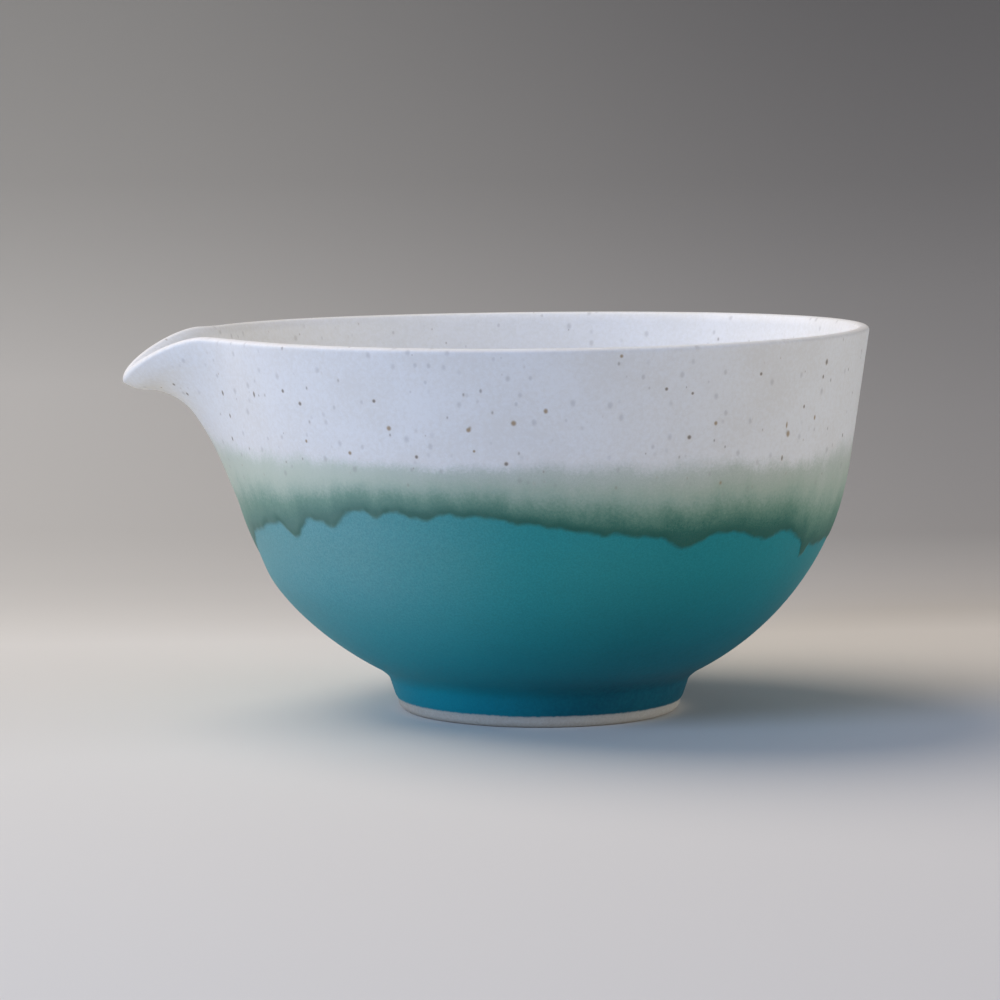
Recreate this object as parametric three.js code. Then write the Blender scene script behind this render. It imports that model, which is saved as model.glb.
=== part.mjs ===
// A spouted bowl: thrown stoneware with a trimmed foot ring, a pulled pouring spout and five coats of glaze.
// Millimetres, +Z up, the table at z = 0. The spout points along -X, and the two sides of Y = 0 are the same.
import * as THREE from "three";
import { ParametricGeometry } from "three/addons/geometries/ParametricGeometry.js";
import { mergeGeometries, mergeVertices } from "three/addons/utils/BufferGeometryUtils.js";

const { degToRad, lerp, smoothstep, smootherstep } = THREE.MathUtils;

// Bowl wall, measured over the glaze
const RIM_RADIUS = 65.4;
const RIM_HEIGHT = 75.5; // top of the lip on the spout's side
const RIM_RISE = 1.4; // the rim is higher by this much opposite the spout
const RISE_FROM = 40; // the wall under it begins to rise here
const WALL_LEAN = degToRad(8.2); // upper wall, outwards from upright
const BELLY_TOP = 50; // height where the straight upper wall meets the belly's arc
const BELLY_ARC = 56; // radius of the belly's arc
const WALL_AT_LIP = 2.7;
const WALL_AT_FLOOR = 4.6;
const FLOOR_HEIGHT = 9.6; // inside floor over the table, at the centre
const FLOOR_CURVE = 5; // power of the floor's rise towards the wall

// The hand-thrown belly and rim stand out a little further on the spout's side
const BELLY_FULLNESS = 1.0;
const BELLY_FULL_FROM = 7;
const BELLY_FULL_AT = 25;
const BELLY_FULL_TO = 34;
const RIM_FULLNESS = 3.4;

// Foot ring and the well inside it
const FOOT_HEIGHT = 5.9;
const FOOT_JOIN = 8.4; // height where the fillet over the foot meets the belly
const FOOT_TOP_RADIUS = 30.05;
const FOOT_GLAZE_RADIUS = 28.65; // at the lower edge of the glaze
const FOOT_GLAZE_EDGE = 1.7; // bare clay below this height
const FOOT_INNER_RADIUS = 23.5;
const FOOT_REST_INNER = 24.4; // the flat ring that stands on the table
const FOOT_REST_OUTER = 26.9;
const FOOT_INNER_ROUND = 0.9; // height of the rounded inner edge

// Spout
const SPOUT_PULL = 12.9; // how far the lip is drawn out
const SPOUT_ROOT = 41.7; // height where the wall starts to swell into the spout
const SPOUT_FLARE = 2.16; // power of the swelling with height
const SPOUT_HALF_ANGLE = degToRad(25.5);
const SPOUT_NOSE = 0.9; // below 1 gives a rounder beak
const SPOUT_DROOP = 12.7; // how far the beak bends down where it is fully bent
const DROOP_FROM = 58.9;
const DROOP_TO = 83.4;
const DROOP_HALF_ANGLE = degToRad(17.4);
const SPOUT_JOINT_ANGLE = degToRad(36); // the spout's clay is luted to the wall here
const SPOUT_JOINT_HEIGHT = 44;

// Glaze
const GLAZE = 0.35; // thickness of a coat
const DRIP_LINE = 41; // mean lower edge of the green run
const WHITE_LINE = 51.5; // mean lower edge of the clean white

// Facets: finer round the spout than round the rest
const SPOUT_COLUMNS = 24;
const REST_COLUMNS = 32;
const COLUMNS = SPOUT_COLUMNS + REST_COLUMNS;
const BELLY_FACET = 8; // greatest height of a facet on the belly
const SPOUT_FACET = 4.6; // and on the wall over the spout's root
const LIP_STEPS = 4;
const FLOOR_STEPS = 3;
const EDGE_STEPS = 3; // facets of the foot's rounded edges

const WELD = 1e-4; // points nearer than this are one

const LIP_HEIGHT = RIM_HEIGHT - WALL_AT_LIP / 2; // middle of the lip's half round
const WALL_TOP_RUN = (LIP_HEIGHT - BELLY_TOP) * Math.tan(WALL_LEAN);
const BELLY_TOP_RADIUS = RIM_RADIUS - WALL_TOP_RUN;
const BELLY_CENTRE_RADIUS = BELLY_TOP_RADIUS - BELLY_ARC * Math.cos(WALL_LEAN);
const BELLY_CENTRE_HEIGHT = BELLY_TOP + BELLY_ARC * Math.sin(WALL_LEAN);

// Levels of the wall where pieces begin or end
const FOOT_LEVELS = [FOOT_GLAZE_EDGE, FOOT_HEIGHT, FOOT_JOIN];
const WALL_LEVELS = [DRIP_LINE, SPOUT_JOINT_HEIGHT, WHITE_LINE, LIP_HEIGHT];
const LEVELS = [...FOOT_LEVELS, ...WALL_LEVELS].sort((a, b) => a - b);

// Height stations from one level to another. Every face takes the same ones, so that faces in touch match.
function rowsBetween(low, high) {
  const levels = LEVELS.filter((level) => level >= low && level <= high);
  const rows = [low];
  for (let i = 1; i < levels.length; i += 1) {
    const rise = levels[i] - levels[i - 1];
    const steps = Math.ceil(rise / (levels[i - 1] < SPOUT_ROOT ? BELLY_FACET : SPOUT_FACET));
    for (let step = 1; step <= steps; step += 1) rows.push(levels[i - 1] + (rise * step) / steps);
  }
  return rows;
}

function outerRadius(height) {
  if (height >= BELLY_TOP) return BELLY_TOP_RADIUS + (height - BELLY_TOP) * Math.tan(WALL_LEAN);
  if (height >= FOOT_JOIN) {
    const drop = BELLY_CENTRE_HEIGHT - height;
    return BELLY_CENTRE_RADIUS + Math.sqrt(BELLY_ARC ** 2 - drop ** 2);
  }
  if (height >= FOOT_HEIGHT) {
    const t = (height - FOOT_HEIGHT) / (FOOT_JOIN - FOOT_HEIGHT);
    return lerp(FOOT_TOP_RADIUS, outerRadius(FOOT_JOIN), t);
  }
  const t = (height - FOOT_GLAZE_EDGE) / (FOOT_HEIGHT - FOOT_GLAZE_EDGE);
  return lerp(FOOT_GLAZE_RADIUS, FOOT_TOP_RADIUS, t);
}

// A point of the glazed outer face. The azimuth runs from the spout, anticlockwise seen from above.
function outerPoint(azimuth, height) {
  const radius = outerRadius(height);
  const away = Math.abs(azimuth);
  const towardsSpout = (1 + Math.cos(azimuth)) / 2;
  const t = Math.max(0, (height - SPOUT_ROOT) / (LIP_HEIGHT - SPOUT_ROOT));
  const beak = 1 - smootherstep((away / SPOUT_HALF_ANGLE) ** SPOUT_NOSE, 0, 1);
  const pull = SPOUT_PULL * t ** SPOUT_FLARE * beak;
  const filling = smoothstep(height, BELLY_FULL_FROM, BELLY_FULL_AT);
  const swell = filling * (1 - smoothstep(height, BELLY_FULL_AT, BELLY_FULL_TO));
  const fullness = (RIM_FULLNESS * t + BELLY_FULLNESS * swell) * towardsSpout;
  const bend = 1 - smoothstep((away / DROOP_HALF_ANGLE) ** SPOUT_NOSE, 0, 1);
  const droop = SPOUT_DROOP * smoothstep(height, DROOP_FROM, DROOP_TO) * bend;
  const x = -radius * Math.cos(azimuth) - pull - fullness;
  const towardsBack = Math.max(0, (x / RIM_RADIUS + 1) / 2);
  const lift = RIM_RISE * towardsBack ** 2 * smoothstep(height, RISE_FROM, RIM_HEIGHT);
  return new THREE.Vector3(x, -radius * Math.sin(azimuth), height - droop + lift);
}

// The outer face's outward normal, and the direction up the wall square to the lip
function faceDirections(azimuth, height) {
  const step = 1e-4;
  const along = outerPoint(azimuth + step, height).sub(outerPoint(azimuth - step, height)).normalize();
  const upwards = outerPoint(azimuth, height + step).sub(outerPoint(azimuth, height - step));
  const outward = new THREE.Vector3().crossVectors(along, upwards).normalize();
  const rise = new THREE.Vector3().crossVectors(outward, along).normalize();
  return { outward, rise };
}

function wallThickness(height) {
  const depth = (LIP_HEIGHT - height) / (LIP_HEIGHT - FOOT_JOIN);
  return lerp(WALL_AT_LIP, WALL_AT_FLOOR, depth);
}

// The four faces of the glazed wall: each tells how far a point lies inside the outer face
const glazeOuter = () => 0;
const clayOuter = () => GLAZE;
const clayInner = (height) => wallThickness(height) - GLAZE;
const glazeInner = (height) => wallThickness(height);

function facePoint(face, azimuth, height) {
  const inset = face(height);
  const point = outerPoint(azimuth, height);
  if (height < FOOT_JOIN) return point.sub(ringPoint(inset, azimuth, 0));
  return point.addScaledVector(faceDirections(azimuth, height).outward, -inset);
}

// The half round of the lip, from the outside (turn 0) over the top to the inside (turn 1)
function lipPoint(coat, azimuth, turn) {
  const { outward, rise } = faceDirections(azimuth, LIP_HEIGHT);
  const radius = WALL_AT_LIP / 2 - coat;
  const centre = outerPoint(azimuth, LIP_HEIGHT).addScaledVector(outward, -WALL_AT_LIP / 2);
  return centre
    .addScaledVector(outward, radius * Math.cos(turn * Math.PI))
    .addScaledVector(rise, radius * Math.sin(turn * Math.PI));
}

// The inside floor, from its edge (reach 1) to the centre (reach 0)
function floorPoint(face, azimuth, reach) {
  const edge = facePoint(face, azimuth, FOOT_JOIN);
  const centreHeight = face === glazeInner ? FLOOR_HEIGHT : FLOOR_HEIGHT - GLAZE;
  return new THREE.Vector3(edge.x * reach, edge.y * reach, lerp(centreHeight, edge.z, reach ** FLOOR_CURVE));
}

// A point of a plain ring, round the bowl's axis
function ringPoint(radius, azimuth, height) {
  return new THREE.Vector3(-radius * Math.cos(azimuth), -radius * Math.sin(azimuth), height);
}

// Azimuth at a column: columns 0 to SPOUT_COLUMNS lie across the spout, the others go round the back
function columnAzimuth(column) {
  const wrapped = column >= COLUMNS ? column - COLUMNS : column;
  if (wrapped <= SPOUT_COLUMNS) return lerp(-SPOUT_JOINT_ANGLE, SPOUT_JOINT_ANGLE, wrapped / SPOUT_COLUMNS);
  return lerp(SPOUT_JOINT_ANGLE, 2 * Math.PI - SPOUT_JOINT_ANGLE, (wrapped - SPOUT_COLUMNS) / REST_COLUMNS);
}

// Azimuths past half a turn are the negative ones on the other side
function signedAzimuth(column) {
  const azimuth = columnAzimuth(column);
  return azimuth > Math.PI ? azimuth - 2 * Math.PI : azimuth;
}

const ALL_ROUND = [0, COLUMNS];
const SPOUT_SECTOR = [0, SPOUT_COLUMNS];
const REST_SECTOR = [SPOUT_COLUMNS, COLUMNS];

// A sheet of facets over a range of columns and a list of stations
function sheet([first, last], stations, pointAt) {
  const columns = last - first;
  const rows = stations.length - 1;
  const shape = (u, v, target) => {
    const row = Math.min(rows - 1, Math.floor(v * rows));
    const station = lerp(stations[row], stations[row + 1], v * rows - row);
    target.copy(pointAt(signedAzimuth(first + u * columns), station));
  };
  return new ParametricGeometry(shape, columns, rows);
}

function evenStations(steps) {
  return Array.from({ length: steps + 1 }, (_, i) => i / steps);
}

function wallSheet(face, sector, rows) {
  return sheet(sector, rows, (azimuth, height) => facePoint(face, azimuth, height));
}

function lipSheet(coat, sector) {
  return sheet(sector, evenStations(LIP_STEPS), (azimuth, turn) => lipPoint(coat, azimuth, turn));
}

function floorSheet(face) {
  return sheet(ALL_ROUND, evenStations(FLOOR_STEPS), (azimuth, reach) => floorPoint(face, azimuth, reach));
}

// The edge between two faces of the wall at one height
function edgeSheet(from, to, sector, height) {
  return sheet(sector, [0, 1], (azimuth, across) => {
    const start = facePoint(from, azimuth, height);
    return start.lerp(facePoint(to, azimuth, height), across);
  });
}

// The same geometry facing the other way, with the same facets
function reversed(geometry) {
  const turned = geometry.clone();
  const index = turned.index.array;
  for (let i = 0; i < index.length; i += 3) [index[i + 1], index[i + 2]] = [index[i + 2], index[i + 1]];
  return turned;
}

// Sheets that share their edges, welded into one closed body without the empty facets on the axis
function closedBody(sheets) {
  for (const one of sheets) {
    one.deleteAttribute("normal");
    one.deleteAttribute("uv");
  }
  const body = mergeVertices(mergeGeometries(sheets), WELD);
  const corners = body.index.array;
  const kept = [];
  for (let i = 0; i < corners.length; i += 3) {
    const [a, b, c] = corners.slice(i, i + 3);
    if (a !== b && b !== c && c !== a) kept.push(a, b, c);
  }
  body.setIndex(kept);
  return body;
}

// The cut through the clay wall at one side of the spout: up the wall and over the lip
function jointSheet(side) {
  const azimuth = side * SPOUT_JOINT_ANGLE;
  const heights = rowsBetween(SPOUT_JOINT_HEIGHT, LIP_HEIGHT);
  const outside = heights.map((height) => facePoint(clayOuter, azimuth, height));
  const inside = heights.map((height) => facePoint(clayInner, azimuth, height));
  for (let step = 1; step <= LIP_STEPS / 2; step += 1) {
    outside.push(lipPoint(GLAZE, azimuth, step / LIP_STEPS));
    inside.push(lipPoint(GLAZE, azimuth, 1 - step / LIP_STEPS));
  }
  const rows = outside.length - 1;
  const shape = (u, v, target) => {
    const row = Math.round(v * rows);
    target.copy(outside[row]).lerp(inside[row], u);
  };
  return new ParametricGeometry(shape, 1, rows);
}

// Clay

function bowlWall() {
  const lowerRows = rowsBetween(FOOT_HEIGHT, SPOUT_JOINT_HEIGHT);
  const upperRows = rowsBetween(SPOUT_JOINT_HEIGHT, LIP_HEIGHT);
  return closedBody([
    seatSheet(),
    wallSheet(clayOuter, ALL_ROUND, lowerRows),
    wallSheet(clayOuter, REST_SECTOR, upperRows),
    lipSheet(GLAZE, REST_SECTOR),
    reversed(jointSheet(1)),
    jointSheet(-1),
    edgeSheet(clayOuter, clayInner, SPOUT_SECTOR, SPOUT_JOINT_HEIGHT),
    reversed(wallSheet(clayInner, REST_SECTOR, upperRows)),
    reversed(wallSheet(clayInner, ALL_ROUND, rowsBetween(FOOT_JOIN, SPOUT_JOINT_HEIGHT))),
    reversed(floorSheet(clayInner)),
  ]);
}

// The flat underside of the bowl, which the foot ring stands under
function seatSheet() {
  const radius = FOOT_TOP_RADIUS - GLAZE;
  return sheet(ALL_ROUND, [0, 1], (azimuth, reach) => ringPoint(radius * reach, azimuth, FOOT_HEIGHT));
}

function spout() {
  const rows = rowsBetween(SPOUT_JOINT_HEIGHT, LIP_HEIGHT);
  return closedBody([
    wallSheet(clayOuter, SPOUT_SECTOR, rows),
    lipSheet(GLAZE, SPOUT_SECTOR),
    reversed(wallSheet(clayInner, SPOUT_SECTOR, rows)),
    reversed(edgeSheet(clayOuter, clayInner, SPOUT_SECTOR, SPOUT_JOINT_HEIGHT)),
    jointSheet(1),
    reversed(jointSheet(-1)),
  ]);
}

// A closed ring from its outline, given anticlockwise with the radius to the right
function turnedRing(outline) {
  const closed = [...outline, outline[0]];
  return closedBody([
    sheet(ALL_ROUND, closed.map((_, i) => i), (azimuth, station) => {
      const i = Math.min(outline.length - 1, Math.floor(station));
      const [radius, height] = closed[i].map((value, k) => lerp(value, closed[i + 1][k], station - i));
      return ringPoint(radius, azimuth, height);
    }),
  ]);
}

// A rounded edge from the flat ring at the table (the first point) to an upright side
function roundedEdge(restRadius, sideRadius, height) {
  return evenStations(EDGE_STEPS).map((turn) => {
    const angle = (turn * Math.PI) / 2;
    return [lerp(restRadius, sideRadius, Math.sin(angle)), height * (1 - Math.cos(angle))];
  });
}

function footRing() {
  return turnedRing([
    ...roundedEdge(FOOT_REST_OUTER, FOOT_GLAZE_RADIUS - GLAZE, FOOT_GLAZE_EDGE),
    [FOOT_TOP_RADIUS - GLAZE, FOOT_HEIGHT],
    [FOOT_INNER_RADIUS, FOOT_HEIGHT],
    ...roundedEdge(FOOT_REST_INNER, FOOT_INNER_RADIUS, FOOT_INNER_ROUND).reverse(),
  ]);
}

// Glaze coats

// A coat on the outer face between two levels, closed at its upper edge by the sheets in closing
function glazeCoat(low, high, closing) {
  const rows = rowsBetween(low, high);
  return closedBody([
    wallSheet(glazeOuter, ALL_ROUND, rows),
    reversed(wallSheet(clayOuter, ALL_ROUND, rows)),
    reversed(edgeSheet(glazeOuter, clayOuter, ALL_ROUND, low)),
    ...closing,
  ]);
}

function turquoiseGlaze() {
  return glazeCoat(FOOT_GLAZE_EDGE, DRIP_LINE, [edgeSheet(glazeOuter, clayOuter, ALL_ROUND, DRIP_LINE)]);
}

function greenRunGlaze() {
  return glazeCoat(DRIP_LINE, WHITE_LINE, [edgeSheet(glazeOuter, clayOuter, ALL_ROUND, WHITE_LINE)]);
}

function whiteGlazeOutside() {
  return glazeCoat(WHITE_LINE, LIP_HEIGHT, [
    lipSheet(0, ALL_ROUND),
    reversed(lipSheet(GLAZE, ALL_ROUND)),
    reversed(edgeSheet(clayInner, glazeInner, ALL_ROUND, LIP_HEIGHT)),
  ]);
}

function whiteGlazeInside() {
  const rows = rowsBetween(FOOT_JOIN, LIP_HEIGHT);
  return closedBody([
    wallSheet(clayInner, ALL_ROUND, rows),
    reversed(wallSheet(glazeInner, ALL_ROUND, rows)),
    edgeSheet(clayInner, glazeInner, ALL_ROUND, LIP_HEIGHT),
    floorSheet(clayInner),
    reversed(floorSheet(glazeInner)),
  ]);
}

// A shallow cup of glaze upside down: under the floor and down the foot ring's inner side
function footWellGlaze() {
  const inner = FOOT_INNER_RADIUS - GLAZE;
  return turnedRing([
    [0, FOOT_HEIGHT - GLAZE],
    [inner, FOOT_HEIGHT - GLAZE],
    [inner, FOOT_GLAZE_EDGE],
    [FOOT_INNER_RADIUS, FOOT_GLAZE_EDGE],
    [FOOT_INNER_RADIUS, FOOT_HEIGHT],
    [0, FOOT_HEIGHT],
  ]);
}

const STONEWARE = { color: 0xcfc6b4, roughness: 0.9, metalness: 0 };
const WHITE_SATIN = { color: 0xe6e9ee, roughness: 0.45, metalness: 0 };
const GREEN_RUN = { color: 0x7fa093, roughness: 0.4, metalness: 0 };
const TURQUOISE_MATT = { color: 0x1f7f8c, roughness: 0.55, metalness: 0 };

function piece(name, geometry, finish) {
  geometry.computeVertexNormals();
  const mesh = new THREE.Mesh(geometry, new THREE.MeshStandardMaterial(finish));
  mesh.name = name;
  return mesh;
}

const bowl = new THREE.Group();
bowl.add(
  piece("bowl_wall", bowlWall(), STONEWARE),
  piece("spout", spout(), STONEWARE),
  piece("foot_ring", footRing(), STONEWARE),
  piece("turquoise_glaze_outside", turquoiseGlaze(), TURQUOISE_MATT),
  piece("green_run_glaze", greenRunGlaze(), GREEN_RUN),
  piece("white_glaze_outside", whiteGlazeOutside(), WHITE_SATIN),
  piece("white_glaze_inside", whiteGlazeInside(), WHITE_SATIN),
  piece("foot_well_glaze", footWellGlaze(), TURQUOISE_MATT),
);

// The origin is under the middle of the whole bowl, spout included
const reach = new THREE.Box3().setFromObject(bowl, true);
bowl.position.x = -(reach.min.x + reach.max.x) / 2;

export default bowl;
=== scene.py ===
import math

import bmesh
import bpy
import numpy as np
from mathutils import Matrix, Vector


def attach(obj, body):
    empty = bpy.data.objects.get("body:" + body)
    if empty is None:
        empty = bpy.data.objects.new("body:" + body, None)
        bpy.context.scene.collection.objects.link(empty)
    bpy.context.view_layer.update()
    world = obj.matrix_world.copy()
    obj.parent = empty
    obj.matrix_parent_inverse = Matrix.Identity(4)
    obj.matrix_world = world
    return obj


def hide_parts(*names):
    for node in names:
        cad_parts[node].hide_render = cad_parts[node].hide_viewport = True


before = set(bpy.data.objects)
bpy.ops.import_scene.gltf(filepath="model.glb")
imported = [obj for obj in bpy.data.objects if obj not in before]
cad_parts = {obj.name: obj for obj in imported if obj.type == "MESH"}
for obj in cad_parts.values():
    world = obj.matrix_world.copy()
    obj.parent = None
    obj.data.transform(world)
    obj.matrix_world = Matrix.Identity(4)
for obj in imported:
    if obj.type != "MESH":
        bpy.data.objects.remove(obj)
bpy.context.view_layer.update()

# Sizes of the bowl, in millimetres, as in the part
MM = 0.001
AXIS_X = 8.66  # the axis that the bowl was thrown on, from the middle of the whole bowl
RIM_RADIUS = 65.4
RIM_HEIGHT = 75.5  # top of the lip on the spout's side
RIM_RISE = 1.4  # the rim is higher by this much opposite the spout
RISE_FROM = 40  # the wall under it begins to rise here
WALL_LEAN = math.radians(8.2)  # upper wall, outwards from upright
BELLY_TOP = 50.0  # height where the straight upper wall meets the belly's arc
BELLY_ARC = 56.0  # radius of that arc
BELLY_FULLNESS = 1.0  # the belly stands out by this much more on the spout's side
BELLY_FULL_FROM = 7
BELLY_FULL_AT = 25
BELLY_FULL_TO = 34
RIM_FULLNESS = 3.4  # and the rim by this much
WALL_AT_LIP = 2.7
WALL_AT_FLOOR = 4.6
FLOOR_HEIGHT = 9.6
FLOOR_CURVE = 5  # power of the floor's rise towards the wall
FOOT_HEIGHT = 5.9
FOOT_JOIN = 8.4  # height where the cove over the foot meets the belly
FOOT_COVE = 1.6  # power of that cove
FOOT_TOP_RADIUS = 30.05
FOOT_GLAZE_RADIUS = 28.65  # at the lower edge of the glaze
FOOT_GLAZE_EDGE = 1.7
FOOT_INNER_RADIUS = 23.5
FOOT_INNER_ROUND = 0.9  # height of the foot's rounded inner edge
FOOT_REST_INNER = 24.4  # the flat ring that stands on the table
FOOT_REST_OUTER = 26.9
GLAZE = 0.35  # thickness of a coat
SPOUT_PULL = 12.9  # how far the lip is drawn out
SPOUT_ROOT = 41.7  # height where the wall starts to swell into the spout
SPOUT_FLARE = 2.16  # power of the swelling with height
SPOUT_HALF_ANGLE = math.radians(25.5)
SPOUT_NOSE = 0.9  # below 1 gives a rounder beak
SPOUT_DROOP = 12.7  # how far the beak bends down where it is fully bent
DROOP_FROM = 58.9
DROOP_SPAN = 24.5  # height over which it would bend fully, which is more than the beak has
DROOP_HALF_ANGLE = math.radians(17.4)

# Sizes that only this model has, in millimetres too
TIP = 0.6  # the wall is thicker by this much under the very tip of the spout
TIP_HALF_ANGLE = math.radians(14)
TIP_FROM = 68.0
TIP_UNDER_LIP = 2.0  # it is full this far under the middle of the lip, then fades upwards
TIP_FADE = 3.3
GLAZE_FOOT_LINE = FOOT_GLAZE_EDGE + 0.5  # the glaze was wiped off the foot up to here
SKIN = 0.12  # keeps the finely rounded model inside the coarser solids' box

LIP = RIM_HEIGHT - WALL_AT_LIP / 2  # middle of the lip's half round
INSIDE_SEAM = LIP - 7.0  # the inner coat meets the outer one here, under the lip
BELLY_TOP_RADIUS = RIM_RADIUS - (LIP - BELLY_TOP) * math.tan(WALL_LEAN)
ARC_RADIUS = BELLY_TOP_RADIUS - BELLY_ARC * math.cos(WALL_LEAN)
ARC_HEIGHT = BELLY_TOP + BELLY_ARC * math.sin(WALL_LEAN)

STEP = 1e-3  # for slopes, in radians and in millimetres
CLOSE = 0.01  # heights and insets nearer than this count as one


# The shape of the bowl
def ease(t):
    """From 0 to 1, level at both ends."""
    t = np.clip(t, 0.0, 1.0)
    return t * t * (3 - 2 * t)


def ease_more(t):
    """From 0 to 1, level and unbent at both ends."""
    t = np.clip(t, 0.0, 1.0)
    return t ** 3 * (t * (t * 6 - 15) + 10)


def wall_radius(height):
    """Radius of the glazed outer face away from the spout."""
    arc = ARC_RADIUS + np.sqrt(np.maximum(BELLY_ARC ** 2 - (ARC_HEIGHT - height) ** 2, 0.0))
    join = ARC_RADIUS + math.sqrt(BELLY_ARC ** 2 - (ARC_HEIGHT - FOOT_JOIN) ** 2)
    wall = BELLY_TOP_RADIUS + (height - BELLY_TOP) * math.tan(WALL_LEAN)
    t = np.clip((height - FOOT_HEIGHT) / (FOOT_JOIN - FOOT_HEIGHT), 0.0, 1.0)
    cove = FOOT_TOP_RADIUS + (join - FOOT_TOP_RADIUS) * t ** FOOT_COVE
    t = (height - FOOT_GLAZE_EDGE) / (FOOT_HEIGHT - FOOT_GLAZE_EDGE)
    foot = FOOT_GLAZE_RADIUS + (FOOT_TOP_RADIUS - FOOT_GLAZE_RADIUS) * t
    low = np.where(height >= FOOT_HEIGHT, cove, foot)
    return np.where(height >= BELLY_TOP, wall, np.where(height >= FOOT_JOIN, arc, low))


def outer_face(azimuth, height):
    """Points of the glazed outer face. The azimuth runs from the spout, anticlockwise from above."""
    radius = wall_radius(height)
    away = np.abs(azimuth)
    towards_spout = (1 + np.cos(azimuth)) / 2
    t = np.maximum(0.0, (height - SPOUT_ROOT) / (LIP - SPOUT_ROOT))
    beak = 1 - ease_more((away / SPOUT_HALF_ANGLE) ** SPOUT_NOSE)
    pull = SPOUT_PULL * t ** SPOUT_FLARE * beak
    swell = ease((height - BELLY_FULL_FROM) / (BELLY_FULL_AT - BELLY_FULL_FROM))
    swell = swell * (1 - ease((height - BELLY_FULL_AT) / (BELLY_FULL_TO - BELLY_FULL_AT)))
    fullness = RIM_FULLNESS * t + BELLY_FULLNESS * swell
    bend = 1 - ease((away / DROOP_HALF_ANGLE) ** SPOUT_NOSE)
    droop = SPOUT_DROOP * ease((height - DROOP_FROM) / DROOP_SPAN) * bend
    x = -radius * np.cos(azimuth) - pull - fullness * towards_spout
    raised = ease((height - RISE_FROM) / (RIM_HEIGHT - RISE_FROM))
    lift = RIM_RISE * np.maximum(0.0, (x / RIM_RADIUS + 1) / 2) ** 2 * raised
    return np.stack([x, -radius * np.sin(azimuth), height - droop + lift], -1)


def thicker_tip(azimuth, height):
    """How far the outer face stands out under the tip of the spout."""
    near = np.exp(-(azimuth / TIP_HALF_ANGLE) ** 2)
    grown = ease((height - TIP_FROM) / (LIP - TIP_UNDER_LIP - TIP_FROM))
    return TIP * near * grown * (1 - ease((height - LIP + TIP_UNDER_LIP) / TIP_FADE))


def unit(vectors):
    return vectors / np.maximum(np.linalg.norm(vectors, axis=-1, keepdims=True), 1e-12)


def wall_point(azimuth, height, inset, reach, middle):
    """Points at an inset from the outer face. Over the lip they rise square to it. On a floor,
    reach runs from 1 at its edge to 0 in its middle, which lies at the height middle."""
    wall_height = np.minimum(height, LIP)
    inset = inset - thicker_tip(azimuth, height) * np.clip(1 - inset / WALL_AT_LIP, 0.0, 1.0)
    along = outer_face(azimuth + STEP, wall_height) - outer_face(azimuth - STEP, wall_height)
    below = np.maximum(wall_height - STEP, FOOT_JOIN)
    upwards = outer_face(azimuth, wall_height + STEP) - outer_face(azimuth, below)
    outward = unit(np.cross(along, upwards))
    rise = unit(np.cross(outward, along))
    level = np.stack([-np.cos(azimuth), -np.sin(azimuth), np.zeros_like(azimuth)], -1)
    outward = np.where((height < FOOT_JOIN - CLOSE)[:, None], level, outward)
    point = outer_face(azimuth, wall_height) - outward * inset[:, None]
    point += rise * (height - wall_height)[:, None]
    point[:, :2] *= reach[:, None]
    point[:, 2] = middle + (point[:, 2] - middle) * reach ** FLOOR_CURVE
    return point


# Outlines, as points (inset, height, reach, middle) for wall_point
def thickness(height):
    """Thickness of the wall with both its coats."""
    return WALL_AT_LIP + (WALL_AT_FLOOR - WALL_AT_LIP) * (LIP - height) / (LIP - FOOT_JOIN)


def clay_inside(height):
    """Inset of the clay's inner face, under the inner coat."""
    return thickness(height) - GLAZE


def at(inset):
    """An inset that is the same at every height."""
    return lambda height: inset


def on_wall(start, end, inset, rows):
    """Up or down one face of the wall, in rows of about the given height."""
    low, high = min(start, end), max(start, end)
    levels = np.linspace(low, high, max(2, int(round((high - low) / rows)) + 1))
    if start > end:
        levels = levels[::-1]
    return [(inset(level), level, 1.0, 0.0) for level in levels]


def over_lip(coat, steps, back=False, squareness=1.0):
    """The lip from outside to inside. Squareness above 1 turns its outer edge over more sharply."""
    angles = [math.pi * i / steps for i in range(1, steps)]
    if back:
        angles = angles[::-1]
    middle = WALL_AT_LIP / 2
    radius = middle - coat
    points = []
    for angle in angles:
        power = 1 / squareness if angle < math.pi / 2 else 1.0
        across = math.copysign(abs(math.cos(angle)) ** power, math.cos(angle))
        height = LIP + radius * math.sin(angle) ** power
        points.append((middle - radius * across, height, 1.0, 0.0))
    return points


def across_floor(inset, middle, steps, back=False):
    """The inside floor, from its edge to its middle."""
    reaches = [1 - i / steps for i in range(1, steps + 1)]
    if back:
        reaches = reaches[::-1]
    return [(inset, FOOT_JOIN, reach, middle) for reach in reaches]


def quarter_turn(steps):
    return [math.pi / 2 * i / steps for i in range(steps + 1)]


def rounded(rest_radius, side_radius, height, steps):
    """Points (radius, height) of a rounded edge from the ring on the table to an upright side."""
    return [(rest_radius + (side_radius - rest_radius) * math.sin(angle),
             height * (1 - math.cos(angle))) for angle in quarter_turn(steps)]


# Spinning an outline into a piece
OUTLINE_VALUES = ("inset", "height", "reach", "middle")
PLAIN_RADIUS = 100.0  # of the plain form that carries an outline's values, before it is shaped
POLE_GAP = 0.01  # keeps that form's two poles apart
CROWDING = 0.55  # draws the columns of a shaped piece together towards the spout
SAME_POINT = 1e-4
ON_AXIS = 1e-5
SHARP_ANGLE = math.radians(50)


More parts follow.
